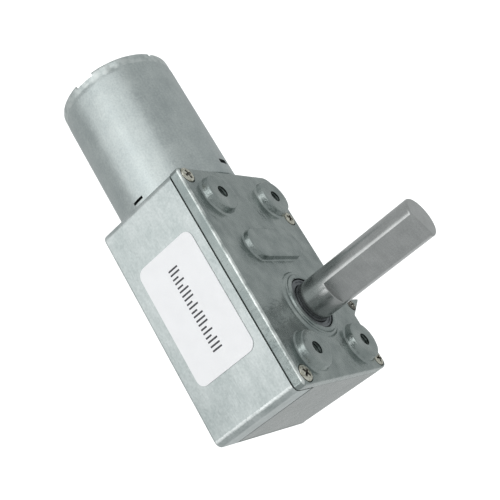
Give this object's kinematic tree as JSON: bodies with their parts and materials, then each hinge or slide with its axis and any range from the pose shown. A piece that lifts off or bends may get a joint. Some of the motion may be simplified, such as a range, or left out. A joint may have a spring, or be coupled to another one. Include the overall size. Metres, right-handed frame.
{
  "type": "worm geared dc motor",
  "caption": "Right-angle worm geared DC motor: flat die-cast gearbox with a D-cut output shaft, four tapped mounting bosses and a round can motor on its end.",
  "frame": {"origin": "where the output shaft's axis meets the flat back of the gearbox", "axes": "+Z along the output shaft, out of the front cover; +X along the motor, away from the gearbox's free end; +Y towards the labelled side"},
  "size_m": [0.0799, 0.0376, 0.0516],
  "materials": {
    "die_cast_zinc": "dull grey die casting",
    "galvanised_sheet": "bright brushed sheet",
    "plated_can": "satin plated steel",
    "satin_steel": "ground satin steel",
    "sintered_bronze": "oil-filled sintered metal",
    "plated_screw": "pale nickel plate",
    "brass": "plain machined brass",
    "label_stock": "white satin label",
    "black_plastic": "moulded black",
    "enamelled_copper": "lacquered copper",
    "ferrite": "dull dark ferrite and carbon",
    "wheel_plastic": "natural acetal"
  },
  "bodies": {
    "gearbox": {"gearbox_case": "die_cast_zinc", "rear_shell": "galvanised_sheet", "front_cover": "die_cast_zinc", "side_label": "label_stock", "cover_screw_1": "plated_screw", "cover_screw_2": "plated_screw", "cover_screw_3": "plated_screw", "cover_screw_4": "plated_screw", "cover_screw_5": "plated_screw", "front_bush": "sintered_bronze", "rear_bush": "sintered_bronze", "wheel_pin": "satin_steel", "idler_pin": "satin_steel", "wheel_washer": "brass", "idler_washer": "brass", "wheel_spacer_lower": "brass", "wheel_spacer_upper": "brass", "idler_spacer_upper": "brass", "motor_can": "plated_can", "motor_end_cap": "black_plastic", "terminal_1": "brass", "terminal_2": "brass", "brush_1": "ferrite", "brush_2": "ferrite", "brush_arm_1": "brass", "brush_arm_2": "brass", "magnet_1": "ferrite", "magnet_2": "ferrite", "motor_front_bush": "sintered_bronze", "motor_rear_bush": "sintered_bronze", "motor_screw_1": "plated_screw", "motor_screw_2": "plated_screw"},
    "rotor": {"motor_shaft": "satin_steel", "worm": "brass", "rotor_core": "satin_steel", "winding_1": "enamelled_copper", "winding_2": "enamelled_copper", "winding_3": "enamelled_copper", "commutator": "enamelled_copper"},
    "wheel_stage": {"worm_wheel": "wheel_plastic", "first_pinion": "satin_steel"},
    "idler_stage": {"idler_gear": "brass", "idler_pinion": "satin_steel"},
    "output": {"output_shaft": "satin_steel", "output_gear": "brass", "shaft_clip": "satin_steel"}
  },
  "joints": [
    {"name": "rotor_spin", "type": "hinge", "parent": "gearbox", "child": "rotor", "pos_m": [0.01342, 0.001, 0.0096], "axis": [1, 0, 0], "continuous": true},
    {"name": "wheel_spin", "type": "hinge", "parent": "gearbox", "child": "wheel_stage", "pos_m": [0.01342, 0.0074, 0.0096], "axis": [0, 0, 1], "continuous": true},
    {"name": "idler_spin", "type": "hinge", "parent": "gearbox", "child": "idler_stage", "pos_m": [0.01342, -0.004, 0.0086], "axis": [0, 0, 1], "continuous": true},
    {"name": "output_spin", "type": "hinge", "parent": "gearbox", "child": "output", "pos_m": [0, 0, 0.0029], "axis": [0, 0, 1], "continuous": true}
  ],
  "couplings": [
    {"joint": "wheel_spin", "follows": "rotor_spin", "ratio": -0.038462},
    {"joint": "idler_spin", "follows": "rotor_spin", "ratio": 0.017751},
    {"joint": "output_spin", "follows": "rotor_spin", "ratio": -0.0051537}
  ]
}
